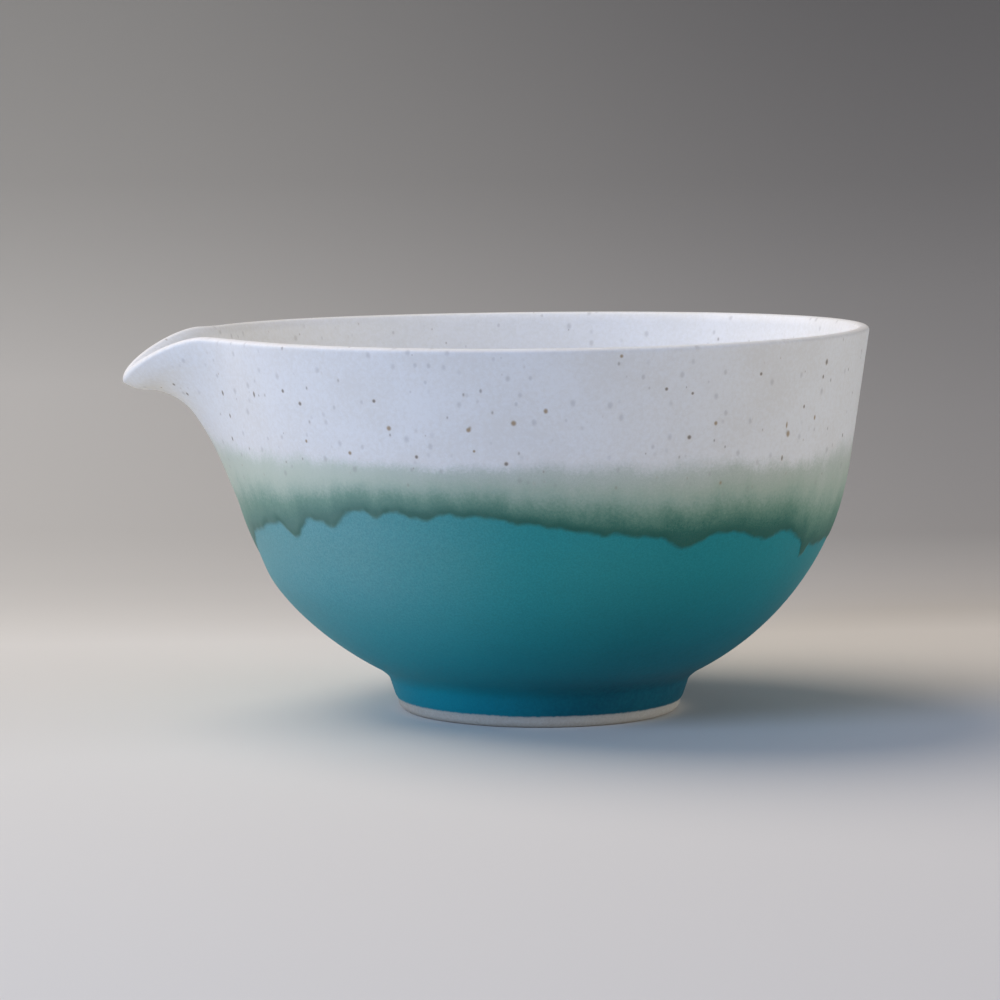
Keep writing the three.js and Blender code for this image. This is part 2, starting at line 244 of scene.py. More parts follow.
def spun(name, outline, columns, closed, shape=None):
    """A piece spun round the bowl's axis from its outline. Without shape the outline holds radii
    and heights. With shape it holds the values of wall_point, the spun form carries them round,
    and shape then throws each of its points to its place."""
    bm = bmesh.new()
    layers = [bm.verts.layers.float.new(label) for label in OUTLINE_VALUES]
    corners = []
    for entry in outline:
        if shape:
            inset, height, reach, middle = entry
            radius = (PLAIN_RADIUS - inset) * reach
            corner = bm.verts.new((radius, 0.0, height + POLE_GAP * middle))
            for layer, value in zip(layers, entry):
                corner[layer] = value
        else:
            radius, height = entry
            corner = bm.verts.new((radius, 0.0, height))
        corners.append(corner)
    pairs = list(zip(corners, corners[1:]))
    if closed:
        pairs.append((corners[-1], corners[0]))
    edges = [bm.edges.new(pair) for pair in pairs]
    bmesh.ops.spin(bm, geom=corners + edges, cent=(0, 0, 0), axis=(0, 0, 1),
                   angle=2 * math.pi, steps=columns, use_merge=True)
    if not closed:
        poles = [v for v in bm.verts if math.hypot(v.co.x, v.co.y) < ON_AXIS]
        bmesh.ops.remove_doubles(bm, verts=poles, dist=SAME_POINT)
    bmesh.ops.recalc_face_normals(bm, faces=bm.faces)
    mesh = bpy.data.meshes.new(name)
    bm.to_mesh(mesh)
    bm.free()
    points = np.empty(len(mesh.vertices) * 3)
    mesh.vertices.foreach_get("co", points)
    points = points.reshape(-1, 3)
    if shape:
        values = {label: np.empty(len(points)) for label in OUTLINE_VALUES}
        for label in OUTLINE_VALUES:
            mesh.attributes[label].data.foreach_get("value", values[label])
        azimuth = np.arctan2(points[:, 1], points[:, 0])
        points = shape(mesh, azimuth - CROWDING * np.sin(azimuth), values)
    for label in OUTLINE_VALUES:
        mesh.attributes.remove(mesh.attributes[label])
    points = (points + [AXIS_X, 0.0, 0.0]) * MM
    mesh.vertices.foreach_set("co", points.ravel())
    mesh.polygons.foreach_set("use_smooth", [True] * len(mesh.polygons))
    mesh.set_sharp_from_angle(angle=SHARP_ANGLE)
    mesh.update()
    piece = bpy.data.objects.new(name, mesh)
    bpy.context.scene.collection.objects.link(piece)
    return piece


# Where the white has run over the turquoise
# Drips of the run: azimuth and half width in degrees, length in millimetres
DRIPS = [
    (2, 9.0, 3.6), (31, 4.6, 3.1), (42.6, 4.4, 2.3), (52.5, 2.2, 1.2), (61.5, 4.5, 1.3),
    (110.4, 6.0, 3.0), (128.5, 6.5, 1.9), (144.6, 2.3, 3.2), (163, 6.0, 1.4), (178, 4.0, 3.1),
    (196, 3.4, 1.8), (211, 6.0, 3.6), (228, 3.0, 1.3), (243, 4.6, 2.7), (258, 7.0, 1.6),
    (274, 3.2, 3.3), (289, 4.5, 1.2), (305, 5.5, 2.9), (321, 3.0, 1.9), (338, 5.0, 3.2),
]
DRIP_POINT = 1.5  # the higher, the narrower a drip is within its width
# The run's edge without its drips: azimuth in degrees, height in millimetres
RUN_EDGE = [
    (0, 35.7), (14, 38.2), (26, 40.6), (37, 42.4), (48, 44.6), (58, 45.0), (76, 44.2), (90, 41.5),
    (102, 40.6), (118, 40.8), (134, 40.0), (141, 37.6), (150, 35.0), (166, 37.0), (186, 39.9),
    (208, 41.9), (232, 40.7), (256, 42.5), (280, 41.3), (300, 42.9), (324, 41.7), (344, 38.9),
    (360, 35.7),
]
# Where the white gives way to the run: azimuth in degrees, height in millimetres
WHITE_EDGE = [
    (0, 54.2), (12, 54.2), (24, 53.9), (60, 53.8), (96, 53.9), (116, 53.8), (124, 52.9),
    (132, 52.5), (138, 52.4), (144, 53.0), (150, 53.6), (160, 54.0), (205, 53.2), (250, 54.0),
    (300, 53.4), (360, 54.2),
]
# How the edges waver: waves round the bowl, half their height in millimetres, where they start
RUN_WAVES = [(17, 0.14, 0.4), (29, 0.1, 2.1), (47, 0.12, 4.0), (71, 0.1, 1.2), (113, 0.06, 0.7)]
WHITE_WAVES = [(9, 0.2, 1.0), (31, 0.15, 0.0)]
FOOT_WAVES = [(5, 0.07, 0.6), (17, 0.03, 2), (43, 0.02, 0)]
FOOT_WAVES_TOP = 5.0  # the foot's waves set in here, and are full by FOOT_WAVES_FADE under it
FOOT_WAVES_FADE = 2.0
RELIEF = 0.16  # how far the run stands proud of the turquoise, just over its edge
RELIEF_UNDER_EDGE = 0.5  # it sets in this far under the edge, and is full by RELIEF_RISE
RELIEF_RISE = 1.2
RELIEF_LOST = 0.75  # the share of it that is gone by RELIEF_FALL over the edge
RELIEF_FALL = 9
PLAIN_TOP = 54.0  # mean height where the white gives way to the run
DRIP_KEEPS = 0.75  # a drip keeps this much of the deep tone of the edge that it left
FAR_OVER = 40.0  # over_edge on the inner side of the outer coat, which is all white
ALL_WHITE = 3.0  # and the band and plain_band there


def edge_height(azimuth, stations):
    places, levels = np.array(stations).T
    return np.interp(np.degrees(azimuth) % 360, places, levels)


def wavering(azimuth, waves):
    return sum(size * np.sin(azimuth * count + start) for count, size, start in waves)


def drip_length(azimuth):
    turn = np.degrees(azimuth) % 360
    total = np.zeros_like(turn)
    for place, half_width, length in DRIPS:
        away = np.abs((turn - place + 180) % 360 - 180) / half_width
        total += length * np.exp(-(DRIP_POINT * away) ** 2)
    return total


def run_edge(azimuth):
    wander = wavering(azimuth, RUN_WAVES)
    return edge_height(azimuth, RUN_EDGE) - drip_length(azimuth) + wander


def white_edge(azimuth):
    return edge_height(azimuth, WHITE_EDGE) + wavering(azimuth, WHITE_WAVES)


def glaze_relief(azimuth, height):
    """How far the run stands proud of the turquoise, most just over its edge."""
    over = height - run_edge(azimuth)
    grown = ease((over + RELIEF_UNDER_EDGE) / RELIEF_RISE)
    return RELIEF * grown * (1 - RELIEF_LOST * ease(over / RELIEF_FALL))


def shape_outer_coat(mesh, azimuth, values):
    """Places the outer coat's points, and writes where the run's tones lie as attributes."""
    height = values["height"]
    inset = values["inset"]
    low = ease((FOOT_WAVES_TOP - height) / FOOT_WAVES_FADE)
    height = height + wavering(azimuth, FOOT_WAVES) * low
    points = wall_point(azimuth, height, inset, values["reach"], values["middle"])
    outside = inset < GLAZE - CLOSE
    relief = np.where(outside, glaze_relief(azimuth, height), 0.0)
    radius = np.maximum(np.hypot(points[:, 0], points[:, 1]), 1.0)
    points[:, :2] *= (1 + relief / radius)[:, None]
    over = np.where(outside, height - run_edge(azimuth), FAR_OVER)
    band = over / (white_edge(azimuth) - run_edge(azimuth))
    drip = drip_length(azimuth)
    plain_band = (over - DRIP_KEEPS * drip) / (PLAIN_TOP - run_edge(azimuth) - drip)
    for label, value in (
        ("over_edge", over),
        ("band", np.where(outside, band, ALL_WHITE)),
        ("plain_band", np.where(outside, plain_band, ALL_WHITE)),
        ("inward", np.clip(inset / WALL_AT_LIP, 0.0, 1.0)),
    ):
        layer = mesh.attributes.new(label, "FLOAT", "POINT")
        layer.data.foreach_set("value", value)
    return points


def shape_plain(mesh, azimuth, values):
    return wall_point(azimuth, values["height"], values["inset"], values["reach"], values["middle"])


# The coat outside, over the lip and down to the seam under it
OVER_JOIN = FOOT_JOIN + 0.8  # the next rows over and under the join
UNDER_JOIN = FOOT_JOIN - 0.5
LIP_SQUARENESS = 1.6
EDGE_INSET = 0.3  # of the coat's face at its lower edge on the foot, where it thins out
EDGE_SLOPE = 0.26
EDGE_TIP = (0.32, GLAZE_FOOT_LINE - 0.24, 1.0, 0.0)  # between the face and the back
EDGE_BACK = GLAZE_FOOT_LINE - 0.3


def thin_on_foot(height):
    """Inset of the coat's face on the foot."""
    return max(SKIN, EDGE_INSET - EDGE_SLOPE * (height - GLAZE_FOOT_LINE))


outer_outline = (
    on_wall(GLAZE_FOOT_LINE, FOOT_JOIN, thin_on_foot, rows=0.7)
    + on_wall(OVER_JOIN, LIP, at(SKIN), rows=0.78)
    + over_lip(SKIN, steps=18, squareness=LIP_SQUARENESS)
    + on_wall(LIP, INSIDE_SEAM, thickness, rows=1.0)
    + on_wall(INSIDE_SEAM, LIP, clay_inside, rows=3.0)
    + over_lip(GLAZE, steps=6, back=True)
    + on_wall(LIP, FOOT_JOIN, at(GLAZE), rows=4.0)
    + on_wall(UNDER_JOIN, EDGE_BACK, at(GLAZE), rows=0.7)
    + [EDGE_TIP]
)
glaze_outside = spun("glaze_outside", outer_outline, columns=432, closed=True,
                     shape=shape_outer_coat)

# The coat inside. It is one loop, which is opened on the axis, where its two poles close it
CLAY_FLOOR = FLOOR_HEIGHT - GLAZE
FLOOR_INSET = thickness(FOOT_JOIN)
inner_loop = (
    on_wall(INSIDE_SEAM, FOOT_JOIN, thickness, rows=1.1)
    + across_floor(FLOOR_INSET, FLOOR_HEIGHT, steps=26)
    + across_floor(FLOOR_INSET - GLAZE, CLAY_FLOOR, steps=8, back=True)
    + on_wall(FOOT_JOIN, INSIDE_SEAM, clay_inside, rows=4.0)
)
pole = inner_loop.index((FLOOR_INSET, FOOT_JOIN, 0.0, FLOOR_HEIGHT))
inner_outline = inner_loop[pole + 1:] + inner_loop[:pole + 1]
glaze_inside = spun("glaze_inside", inner_outline, columns=360, closed=False, shape=shape_plain)

# The clay of the wall and the spout
clay_outline = (
    [(GLAZE, FOOT_HEIGHT, reach, FOOT_HEIGHT) for reach in (0.0, 0.5)]
    + on_wall(FOOT_HEIGHT, UNDER_JOIN, at(GLAZE), rows=0.5)
    + on_wall(FOOT_JOIN, LIP, at(GLAZE), rows=2.5)
    + over_lip(GLAZE, steps=6)
    + on_wall(LIP, FOOT_JOIN, clay_inside, rows=2.5)
    + across_floor(FLOOR_INSET - GLAZE, CLAY_FLOOR, steps=8)
)
clay_bowl = spun("clay_bowl", clay_outline, columns=180, closed=False, shape=shape_plain)

# The clay of the foot, with one row of points on its outer and one on its inner side
FOOT_SIDE_ROW = (FOOT_GLAZE_RADIUS - GLAZE + 0.5, FOOT_GLAZE_EDGE + 1.4)
FOOT_INNER_ROW = (FOOT_INNER_RADIUS, 3.5)
foot_outline = (
    rounded(FOOT_REST_OUTER, FOOT_GLAZE_RADIUS - GLAZE, FOOT_GLAZE_EDGE, steps=8)
    + [FOOT_SIDE_ROW, (FOOT_TOP_RADIUS - GLAZE, FOOT_HEIGHT)]
    + [(FOOT_INNER_RADIUS, FOOT_HEIGHT), FOOT_INNER_ROW]
    + rounded(FOOT_REST_INNER, FOOT_INNER_RADIUS, FOOT_INNER_ROUND, steps=6)[::-1]
)
clay_foot = spun("clay_foot", foot_outline, columns=240, closed=True)

# The coat in the well inside the foot, which thins out at its lower edge
WELL = FOOT_INNER_RADIUS - GLAZE
WELL_ROOF = FOOT_HEIGHT - GLAZE
WELL_COVE = 1.6
WELL_EDGE = [(WELL, 2.6), (WELL, 1.95), (WELL + 0.1, 1.76), (FOOT_INNER_RADIUS, FOOT_GLAZE_EDGE)]
WELL_BACK_ROW = 12.0  # radius of a row on the side that faces the clay
well_outline = (
    [(0.0, WELL_ROOF)] + [(WELL * i / 12, WELL_ROOF) for i in range(1, 11)]
    + [(WELL - WELL_COVE + WELL_COVE * math.sin(angle),
        WELL_ROOF - WELL_COVE + WELL_COVE * math.cos(angle)) for angle in quarter_turn(8)]
    + WELL_EDGE
    + [(FOOT_INNER_RADIUS, FOOT_HEIGHT), (WELL_BACK_ROW, FOOT_HEIGHT), (0.0, FOOT_HEIGHT)]
)
glaze_foot_well = spun("glaze_foot_well", well_outline, columns=240, closed=False)


# Tools for materials
def srgb(r, g, b):
    """A colour given as it looks, 0 to 255."""
    def linear(value):
        value /= 255.0
        return value / 12.92 if value <= 0.04045 else ((value + 0.055) / 1.055) ** 2.4
    return (linear(r), linear(g), linear(b), 1.0)


class Tree:
    """Short ways to add nodes to a shader tree."""

    def __init__(self, tree):
        self.tree = tree

    def node(self, kind, **settings):
        made = self.tree.nodes.new("ShaderNode" + kind)
        inputs = settings.pop("inputs", {})
        for key, value in settings.items():
            setattr(made, key, value)
        for key, value in inputs.items():
            self.put(made.inputs[key], value)
        return made

    def put(self, socket, value):
        if isinstance(value, bpy.types.NodeSocket):
            self.tree.links.new(value, socket)
        else:
            socket.default_value = value

    def math(self, operation, a, b=0.0, c=0.0):
        made = self.node("Math", operation=operation, inputs={0: a, 1: b, 2: c})
        return made.outputs[0]

    def vector(self, operation, a, b=(0.0, 0.0, 0.0)):
        made = self.node("VectorMath", operation=operation, inputs={0: a, 1: b})
        return made.outputs["Value" if operation == "LENGTH" else "Vector"]

    def mix(self, factor, a, b):
        made = self.node("Mix", data_type="RGBA")
        for index, value in ((0, factor), (6, a), (7, b)):
            self.put(made.inputs[index], value)
        return made.outputs[2]

    def fade(self, value, start, end, low=0.0, high=1.0):
        """Low at the start value and high at the end value, eased between them."""
        made = self.node("MapRange", interpolation_type="SMOOTHSTEP", inputs={
            "Value": value, "From Min": start, "From Max": end, "To Min": low, "To Max": high})
        return made.outputs[0]

    def noise(self, scale, detail=2.0, roughness=0.5, stretch=(1.0, 1.0, 1.0)):
        """Noise over the object. The scale is per millimetre, so 0.5 has features about 2 mm wide."""
        made = self.node("TexNoise", inputs={
            "Vector": self.object_mm(stretch), "Scale": scale, "Detail": detail,
            "Roughness": roughness})
        return made.outputs["Fac"]

    def centred_noise(self, *settings, **more):
        return self.math("SUBTRACT", self.noise(*settings, **more), 0.5)

    def object_mm(self, stretch=(1.0, 1.0, 1.0)):
        """Object coordinates in millimetres."""
        place = self.node("TexCoord").outputs["Object"]
        return self.vector("MULTIPLY", place, tuple(1000.0 * s for s in stretch))

    def axes(self):
        """The same, as the outputs X, Y and Z."""
        return self.node("SeparateXYZ", inputs={"Vector": self.object_mm()}).outputs

    def attribute(self, name):
        return self.node("Attribute", attribute_name=name).outputs["Fac"]

    def ramp(self, factor, stops):
        made = self.node("ValToRGB", inputs={0: factor})
        elements = made.color_ramp.elements
        while len(elements) < len(stops):
            elements.new(0.5)
        for element, (position, colour) in zip(elements, stops):
            element.position = position
            element.color = colour
        return made.outputs[0]

    def relief(self, height, strength, depth, under=None):
        """A normal raised by a height of up to depth millimetres, on top of the one under it."""
        made = self.node("Bump", inputs={
            "Strength": strength, "Distance": depth * MM, "Height": height})
        if under is not None:
            self.put(made.inputs["Normal"], under)
        return made.outputs[0]

    def weighted(self, *parts):
        """The sum of values, each with its weight."""
        total = None
        for value, weight in parts:
            part = self.math("MULTIPLY", value, weight)
            total = part if total is None else self.math("ADD", total, part)
        return total


def group(name, inputs, outputs):
    made = bpy.data.node_groups.new(name, "ShaderNodeTree")
    for label, kind, value in inputs:
        socket = made.interface.new_socket(label, in_out="INPUT", socket_type="NodeSocket" + kind)
        socket.default_value = value
    for label, kind in outputs:
        made.interface.new_socket(label, in_out="OUTPUT", socket_type="NodeSocket" + kind)
    given = made.nodes.new("NodeGroupInput").outputs
    out = made.nodes.new("NodeGroupOutput").inputs
    return made, Tree(made), given, out


def use(tree, made, **values):
    """The outputs of a group placed in a tree with its own values."""
    node = tree.tree.nodes.new("ShaderNodeGroup")
    node.node_tree = made
    for label, value in values.items():
        tree.put(node.inputs[label.replace("_", " ").capitalize()], value)
    return node.outputs


def material(name):
    made = bpy.data.materials.new(name)
    made.use_nodes = True
    made.node_tree.nodes.clear()
    tree = Tree(made.node_tree)
    shader = tree.node("BsdfPrincipled")
    result = tree.node("OutputMaterial")
    tree.tree.links.new(shader.outputs[0], result.inputs["Surface"])
    return made, tree, shader


# Colours of the glazes and their specks
WHITE = srgb(236, 236, 234)
WHITE_WARM = srgb(229, 227, 222)
# Whites of the inside, lighter than the outside's: painted light on the inner wall
WHITE_INSIDE_LIT = srgb(243, 243, 241)
WHITE_INSIDE_LIT_WARM = srgb(236, 235, 230)
TURQUOISE = srgb(50, 148, 148)
# Pairs of turquoise for the two sides: the lighter ones paint light and sheen on the spout's side,
# the darker ones paint shade on the far side
TURQUOISE_LIT = srgb(118, 172, 174)
TURQUOISE_SHADED = srgb(36, 140, 143)
TURQUOISE_DEEP_LIT = srgb(0, 138, 155)
TURQUOISE_DEEP_SHADED = srgb(0, 104, 119)
TURQUOISE_FOOT_LIT = srgb(0, 141, 156)
TURQUOISE_FOOT_SHADED = srgb(0, 74, 94)
TURQUOISE_CLOUDS = srgb(34, 158, 166)
TURQUOISE_GRAINS = srgb(6, 92, 100)
THIN_ON_CLAY = srgb(198, 191, 178)
SPECK = srgb(62, 52, 48)
SPECK_RUSTY = srgb(148, 116, 62)
SPECK_HALO = srgb(180, 160, 132)
SPECK_BURIED = srgb(126, 118, 114)
CLAY_LIGHT = srgb(195, 188, 175)
CLAY_DARK = srgb(182, 172, 156)
# The run from its edge (0) up to the white (1)
RUN_TONES = [
    (0.0, srgb(38, 100, 88)), (0.05, srgb(42, 103, 90)), (0.12, srgb(62, 117, 101)),
    (0.2, srgb(85, 131, 113)), (0.28, srgb(104, 145, 125)), (0.36, srgb(125, 158, 138)),
    (0.44, srgb(145, 171, 152)), (0.52, srgb(162, 183, 165)), (0.62, srgb(177, 192, 174)),
    (0.78, srgb(192, 201, 187)), (1.0, srgb(208, 212, 203)),
]
RUN_SALT = srgb(112, 126, 108)
# a painted sheen laid over the run towards the spout
RUN_PAINTED_SHEEN = srgb(160, 186, 176)
RUN_PALE = srgb(212, 219, 200)
RUN_LINE = srgb(30, 90, 78)

# Iron specks scattered through a glaze, each with a soft brown halo
iron_specks, t, given, out = group(
    "iron_specks",
    [("Spacing", "Float", 3.6), ("Radius", "Float", 0.3), ("Share", "Float", 1.0),
     ("Tallness", "Float", 1.4)],
    [("Core", "Float"), ("Halo", "Float")])
scale = t.math("DIVIDE", 1.0, given["Spacing"])
tall = t.node("CombineXYZ", inputs={
    "X": scale, "Y": scale, "Z": t.math("DIVIDE", scale, given["Tallness"])})
place = t.vector("MULTIPLY", t.object_mm(), tall.outputs[0])
cells = t.node("TexVoronoi", inputs={"Vector": place, "Scale": 1.0})
chance = t.node("SeparateColor", inputs={"Color": cells.outputs["Color"]})
unequal = t.math("ADD", 0.35, t.math("MULTIPLY", 0.65, chance.outputs["Red"]))
size = t.math("MULTIPLY", t.math("MULTIPLY", given["Radius"], scale), unequal)
kept = t.math("LESS_THAN", chance.outputs["Green"], given["Share"])
apart = t.math("DIVIDE", cells.outputs["Distance"], size)
t.put(out["Core"], t.math("MULTIPLY", kept, t.fade(apart, 1.0, 0.25)))
t.put(out["Halo"], t.math("MULTIPLY", kept, t.fade(apart, 1.5, 0.3)))

# Fine mottling of a fired glaze and the soft unevenness of its skin
glaze_skin, t, given, out = group(
    "glaze_skin", [("Grain", "Float", 0.7), ("Cloud", "Float", 14.0)],
    [("Mottle", "Float"), ("Height", "Float")])
fine = t.noise(t.math("DIVIDE", 1.0, given["Grain"]), 3.0, 0.65)
cloud = t.noise(t.math("DIVIDE", 1.0, given["Cloud"]), 3.0, 0.55)
peel = t.noise(0.4)
t.put(out["Mottle"], t.weighted((fine, 0.55), (cloud, 0.45)))
t.put(out["Height"], t.weighted((peel, 0.8), (fine, 0.2)))

# Soft rings left by the fingers when the bowl was thrown
throwing_rings, t, given, out = group(
    "throwing_rings", [("Spacing", "Float", 5.0), ("Waver", "Float", 0.6)], [("Height", "Float")])
waver = t.math("MULTIPLY", given["Waver"], given["Spacing"])
level = t.math("ADD", t.axes()["Z"], t.math("MULTIPLY", t.noise(0.03), waver))
level = t.math("DIVIDE", level, given["Spacing"])
wave = t.math("SINE", t.math("MULTIPLY", level, 2 * math.pi))
t.put(out["Height"], t.math("MULTIPLY_ADD", wave, 0.5, 0.5))

# The white running over the turquoise: pale grey-green, darker green, then a dark line at its edge.
# It is paler and its edge is smoother towards the spout, where a painted sheen also lies over it
glaze_run, t, given, out = group(
    "glaze_run",
    [("Over edge", "Float", 0.0), ("Band", "Float", 0.0), ("Plain band", "Float", 0.0),
     ("Turquoise", "Color", (0.05, 0.3, 0.3, 1)), ("White", "Color", (0.8, 0.8, 0.8, 1))],
    [("Color", "Color"), ("Whiteness", "Float"), ("Ridge", "Float")])
cloud = t.centred_noise(0.24, 2.0, 0.6, stretch=(1.0, 1.0, 0.6))
grit = t.centred_noise(1.9, 3.0, 0.7)
salt = t.centred_noise(4.6, 2.0, 0.8)
wander = t.centred_noise(0.42, 1.0, 0.5)
along = t.axes()["X"]
uneven = t.weighted((cloud, 0.24), (grit, 0.26), (salt, 0.16))
ragged = t.weighted((grit, 0.45), (wander, 1.3))
ragged = t.math("MULTIPLY", ragged, t.fade(along, -52.0, -38.0, 0.2))
over = t.math("ADD", given["Over edge"], ragged)
deep = t.math("ADD", given["Plain band"], t.math("MULTIPLY", uneven, t.fade(over, 0.0, 3.0)))
tone = t.mix(t.fade(salt, -0.16, 0.16, 0.0, 0.18), t.ramp(deep, RUN_TONES), RUN_SALT)
# painted sheen over the run towards the spout, where the light comes from
tone = t.mix(t.fade(along, 8.0, -42.0, 0.0, 0.25), tone, RUN_PAINTED_SHEEN)
# paler towards the spout in the middle of the run
paler = t.math("MULTIPLY", t.fade(along, -8.0, -42.0, 0.0, 0.5), t.fade(deep, 0.28, 0.76))
tone = t.mix(paler, tone, RUN_PALE)
depth = t.math("ADD", given["Band"], t.math("MULTIPLY", uneven, 0.8))
tone = t.mix(t.fade(depth, 0.85, 1.13), tone, given["White"])
line = t.math("MULTIPLY", t.fade(over, -0.5, 0.5), t.fade(over, 2.2, 0.3))
line = t.math("MULTIPLY", line, t.fade(cloud, -0.14, 0.12, 0.05, 0.38))
tone = t.mix(line, tone, RUN_LINE)
covered = t.fade(over, -0.6, 0.5)
t.put(out["Color"], t.mix(covered, given["Turquoise"], tone))
t.put(out["Whiteness"], t.fade(depth, 0.2, 0.9))
t.put(out["Ridge"], covered)

# Coarse fired clay
bare_clay, t, given, out = group(
    "bare_clay",
    [("Light", "Color", (0.6, 0.55, 0.45, 1)), ("Dark", "Color", (0.4, 0.33, 0.25, 1))],
    [("Color", "Color"), ("Height", "Float")])
sand = t.noise(1.8, 4.0, 0.7)
pits = t.node("TexVoronoi", inputs={"Vector": t.object_mm(), "Scale": 0.9})
t.put(out["Color"], t.mix(t.fade(sand, 0.3, 0.75), given["Light"], given["Dark"]))
t.put(out["Height"], t.math("ADD", sand, t.fade(pits.outputs["Distance"], 0.0, 0.25)))

# The white coat, a little warmer where it is thin
white_coat, t, given, out = group(
    "white_coat", [("Thick", "Color", WHITE), ("Thin", "Color", WHITE_WARM)],
    [("Color", "Color"), ("Mottle", "Float"), ("Height", "Float")])
skin = use(t, glaze_skin, grain=0.8, cloud=16.0)
t.put(out["Color"], t.mix(t.fade(skin["Mottle"], 0.35, 0.65), given["Thick"], given["Thin"]))
t.put(out["Mottle"], skin["Mottle"])
t.put(out["Height"], skin["Height"])

# The three sizes of iron speck in a white glaze, the faintest ones buried in it.
# Each has its spacing, radius, share and tallness, its halo's strength and tone, and its core's
SPECK_SIZES = [
    ((2.3, 0.54, 0.6, 1.3), (0.24, SPECK_BURIED), None),
    ((2.5, 0.36, 0.55, 1.5), (0.22, SPECK_HALO), (0.38, SPECK)),
    ((5.2, 0.5, 0.5, 1.25), (0.36, SPECK_HALO), (0.66, SPECK_RUSTY)),
]
sown_specks, t, given, out = group(
    "sown_specks", [("Glaze", "Color", WHITE), ("Strength", "Float", 1.0)], [("Color", "Color")])
colour = given["Glaze"]
for (spacing, radius, share, tallness), halo, core in SPECK_SIZES:
    specks = use(t, iron_specks, spacing=spacing, radius=radius, share=share, tallness=tallness)
    for mask, layer in ((specks["Halo"], halo), (specks["Core"], core)):
        if layer:
            strength, tone = layer
            strength = t.math("MULTIPLY", given["Strength"], strength)
            colour = t.mix(t.math("MULTIPLY", mask, strength), colour, tone)
t.put(out["Color"], colour)

# The specks that stand out most on the near side: azimuth, height, radius and tallness
RUSTY_SPECKS = [
    (72.0, 60.7, 0.42, 1.0), (49.8, 55.7, 0.36, 1.0), (79.5, 62.0, 0.48, 1.0),
    (84.8, 64.2, 0.38, 1.2), (131.0, 58.0, 0.46, 1.3), (130.4, 59.6, 0.24, 2.6),
    (114.2, 61.0, 0.36, 1.1), (58.2, 60.7, 0.44, 1.0), (138.6, 60.4, 0.3, 1.6),
    (40.5, 57.4, 0.28, 1.2), (97.2, 74.0, 0.32, 1.0), (72.6, 56.8, 0.26, 1.0),
]
DARK_SPECKS = [
    (77.8, 54.5, 0.38, 1.0), (40.8, 64.5, 0.38, 1.0), (140.5, 70.5, 0.44, 1.3),
    (109.2, 58.7, 0.4, 1.0), (56.2, 65.7, 0.34, 1.0), (62.5, 55.5, 0.32, 1.1),
    (123.0, 69.5, 0.32, 1.0), (104.8, 67.7, 0.32, 1.0), (109.5, 66.7, 0.28, 1.0),
    (139.9, 67.8, 0.3, 1.3), (134.8, 62.7, 0.28, 1.3), (18.2, 65.0, 0.3, 1.9),
    (28.8, 65.5, 0.32, 1.9), (37.2, 66.7, 0.34, 1.1), (7.8, 68.0, 0.3, 1.2),
    (8.5, 65.0, 0.32, 1.3), (18.3, 60.6, 0.26, 1.8), (16.5, 56.0, 0.28, 1.8),
    (130.0, 53.6, 0.26, 2.0), (152.2, 56.0, 0.28, 1.5),
]


def placed_specks(tree, specks):
    """A mask of specks at given places on the outer face, 1 in the middle of each."""
    place = tree.object_mm()
    mask = None
    zero = np.zeros(1)
    for azimuth, height, radius, tallness in specks:
        spot = wall_point(zero + math.radians(azimuth), zero + height, zero, zero + 1, zero)[0]
        spot = spot + [AXIS_X, 0, 0]
        apart = tree.vector("SUBTRACT", place, tuple(float(v) for v in spot))
        apart = tree.vector("MULTIPLY", apart, (1.0, 1.0, 1.0 / tallness))
        near = tree.fade(tree.vector("LENGTH", apart), radius * 1.7, radius * 0.15)
        mask = near if mask is None else tree.math("MAXIMUM", mask, near)
    return mask


# The outer coat: white and run over a turquoise that deepens downwards. Its tones are lighter towards
# the spout, where the light comes from, and darker away from it: painted light and sheen, and painted
# shade.
# Places on it are in millimetres, with X away from the spout and Z up
outer_glaze, t, shader = material("outer_glaze")
inward = t.attribute("inward")
# inward over the lip the white turns to the inner wall's, which has painted light in it
white = use(t, white_coat, thick=t.mix(inward, WHITE, WHITE_INSIDE_LIT),
            thin=t.mix(inward, WHITE_WARM, WHITE_INSIDE_LIT_WARM))
place = t.axes()
# painted light and sheen towards the spout, painted shade away from it
turquoise = t.mix(t.fade(place["X"], 4.0, -46.0), TURQUOISE, TURQUOISE_LIT)
turquoise = t.mix(t.fade(place["X"], 5.0, 38.0), turquoise, TURQUOISE_SHADED)
# the lower body's tone, with painted light towards the spout and painted shade away from it
deep_tone = t.mix(t.fade(place["X"], -30.0, 34.0), TURQUOISE_DEEP_LIT, TURQUOISE_DEEP_SHADED)
turquoise = t.mix(t.fade(place["Z"], 38.0, 8.0), turquoise, deep_tone)
# the foot's tone, with painted light on the left and painted shade on the right
foot_tone = t.mix(t.fade(place["X"], -22.0, 22.0), TURQUOISE_FOOT_LIT, TURQUOISE_FOOT_SHADED)
turquoise = t.mix(t.fade(place["Z"], 12.0, 6.0), turquoise, foot_tone)
clouds = t.fade(white["Mottle"], 0.3, 0.7, 0.0, 0.2)
turquoise = t.mix(clouds, turquoise, TURQUOISE_CLOUDS)
grains = t.fade(t.noise(2.8, 2.0, 0.75), 0.3, 0.7, 0.0, 0.26)
turquoise = t.mix(grains, turquoise, TURQUOISE_GRAINS)
above_foot = t.math("ADD", place["Z"], t.math("MULTIPLY", white["Mottle"], 0.8))
turquoise = t.mix(t.fade(above_foot, 2.95, 2.5, 0.0, 0.95), turquoise, THIN_ON_CLAY)
band = t.attribute("band")
run = use(t, glaze_run, over_edge=t.attribute("over_edge"), band=band,
          plain_band=t.attribute("plain_band"), turquoise=turquoise, white=white["Color"])
specked = use(t, sown_specks, glaze=run["Color"], strength=t.fade(band, 0.35, 0.9))
colour = specked["Color"]
